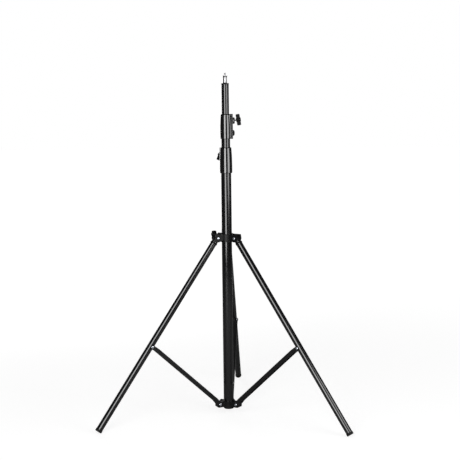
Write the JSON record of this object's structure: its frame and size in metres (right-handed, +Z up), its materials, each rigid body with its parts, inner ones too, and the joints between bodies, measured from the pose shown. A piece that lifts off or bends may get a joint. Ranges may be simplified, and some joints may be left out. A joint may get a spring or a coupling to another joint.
{
  "type": "telescopic lighting stand",
  "caption": "Black telescopic lighting stand with locking collars, sliding leg bracket, folding braced tube legs and a spigot with a camera stud on top.",
  "frame": {"origin": "the point on the floor on the column's axis, level with the undersides of the spread feet", "axes": "+Z up along the column, +Y towards the rear leg, +X to the right as seen by someone facing the rear leg"},
  "size_m": [0.8536, 0.7423, 1.182],
  "materials": {
    "tube_black": "gloss",
    "collar_black": "gloss",
    "knob_black": "satin",
    "casting_black": "satin",
    "ferrule_black": "satin",
    "brace_black": "satin",
    "rivet_zinc": "polished",
    "spigot_chrome": "polished",
    "rubber_black": "matte",
    "nylon_black": "satin",
    "screw_steel": "satin"
  },
  "bodies": {
    "column": {"lower_tube": "tube_black", "column_end_cap": "knob_black", "spreader_hub": "casting_black", "hub_clamp_boss": "casting_black", "hub_clamp_screw": "rivet_zinc", "lower_collar": "collar_black", "lower_collar_bush": "nylon_black", "lower_collar_boss": "collar_black", "lower_collar_cap": "knob_black", "lower_collar_fixing_screw": "screw_steel", "lower_collar_brake_pad": "nylon_black"},
    "middle_section": {"middle_tube": "tube_black", "middle_tube_bush": "nylon_black", "upper_collar": "collar_black", "upper_collar_bush": "nylon_black", "upper_collar_boss": "collar_black", "upper_collar_cap": "knob_black", "upper_collar_fixing_screw": "screw_steel", "upper_collar_brake_pad": "nylon_black"},
    "top_section": {"top_tube": "tube_black", "top_tube_bush": "nylon_black", "top_end_ring": "casting_black", "spigot": "spigot_chrome", "camera_stud": "spigot_chrome"},
    "leg_carrier": {"leg_bracket": "casting_black", "leg_bracket_liner": "nylon_black", "leg_bracket_brake_pad": "nylon_black", "leg_pivot_rivets": "rivet_zinc"},
    "lower_knob": {"lower_knob_handle": "knob_black", "lower_knob_screw": "screw_steel"},
    "upper_knob": {"upper_knob_handle": "knob_black", "upper_knob_screw": "screw_steel"},
    "bracket_knob": {"bracket_knob_handle": "knob_black", "bracket_knob_screw": "screw_steel"},
    "rear_leg": {"leg_tube_rear": "tube_black", "leg_head_rear": "casting_black", "leg_ferrule_rear": "ferrule_black", "leg_foot_rear": "rubber_black", "brace_rivet_rear": "rivet_zinc"},
    "rear_brace": {"brace_rear": "brace_black", "hub_rivets_rear": "rivet_zinc"},
    "right_leg": {"leg_tube_right": "tube_black", "leg_head_right": "casting_black", "leg_ferrule_right": "ferrule_black", "leg_foot_right": "rubber_black", "brace_rivet_right": "rivet_zinc"},
    "right_brace": {"brace_right": "brace_black", "hub_rivets_right": "rivet_zinc"},
    "left_leg": {"leg_tube_left": "tube_black", "leg_head_left": "casting_black", "leg_ferrule_left": "ferrule_black", "leg_foot_left": "rubber_black", "brace_rivet_left": "rivet_zinc"},
    "left_brace": {"brace_left": "brace_black", "hub_rivets_left": "rivet_zinc"}
  },
  "joints": [
    {"name": "middle_slide", "type": "slide", "parent": "column", "child": "middle_section", "axis": [0, 0, 1], "range_m": [0, 0.78]},
    {"name": "top_slide", "type": "slide", "parent": "middle_section", "child": "top_section", "axis": [0, 0, 1], "range_m": [0, 0.8]},
    {"name": "bracket_slide", "type": "slide", "parent": "column", "child": "leg_carrier", "axis": [0, 0, 1], "range_m": [0, 0.1862]},
    {"name": "lower_knob_turn", "type": "hinge", "parent": "column", "child": "lower_knob", "pos_m": [-0.0125, 0.02165, 0.9006], "axis": [-0.4938, 0.8554, 0.1564], "range_deg": [0, 360]},
    {"name": "upper_knob_turn", "type": "hinge", "parent": "middle_section", "child": "upper_knob", "pos_m": [0.02492, 0.002, 1.022], "axis": [0.9845, 0.0792, 0.1564], "range_deg": [0, 360]},
    {"name": "bracket_knob_turn", "type": "hinge", "parent": "leg_carrier", "child": "bracket_knob", "pos_m": [-0.04027, 0.02325, 0.63064], "axis": [-0.866, 0.5, 0], "range_deg": [0, 360]},
    {"name": "rear_leg_fold", "type": "hinge", "parent": "leg_carrier", "child": "rear_leg", "pos_m": [0, 0.038, 0.62364], "axis": [-1, 0, 0], "range_deg": [0, 35.48]},
    {"name": "rear_brace_fold", "type": "hinge", "parent": "rear_leg", "child": "rear_brace", "pos_m": [0, 0.2859, 0.27351], "axis": [1, 0, 0], "range_deg": [0, 82.54]},
    {"name": "right_leg_fold", "type": "hinge", "parent": "leg_carrier", "child": "right_leg", "pos_m": [0.03291, -0.019, 0.62364], "axis": [0.5, 0.866, 0], "range_deg": [0, 35.48]},
    {"name": "right_brace_fold", "type": "hinge", "parent": "right_leg", "child": "right_brace", "pos_m": [0.2476, -0.14295, 0.27351], "axis": [-0.5, -0.866, 0], "range_deg": [0, 82.54]},
    {"name": "left_leg_fold", "type": "hinge", "parent": "leg_carrier", "child": "left_leg", "pos_m": [-0.03291, -0.019, 0.62364], "axis": [0.5, -0.866, 0], "range_deg": [0, 35.48]},
    {"name": "left_brace_fold", "type": "hinge", "parent": "left_leg", "child": "left_brace", "pos_m": [-0.2476, -0.14295, 0.27351], "axis": [-0.5, 0.866, 0], "range_deg": [0, 82.54]}
  ],
  "couplings": [
    {"joint": "rear_leg_fold", "follows": "bracket_slide", "rad_per_m": 3.3247},
    {"joint": "rear_brace_fold", "follows": "bracket_slide", "rad_per_m": 7.7347},
    {"joint": "right_leg_fold", "follows": "bracket_slide", "rad_per_m": 3.3247},
    {"joint": "right_brace_fold", "follows": "bracket_slide", "rad_per_m": 7.7347},
    {"joint": "left_leg_fold", "follows": "bracket_slide", "rad_per_m": 3.3247},
    {"joint": "left_brace_fold", "follows": "bracket_slide", "rad_per_m": 7.7347}
  ]
}
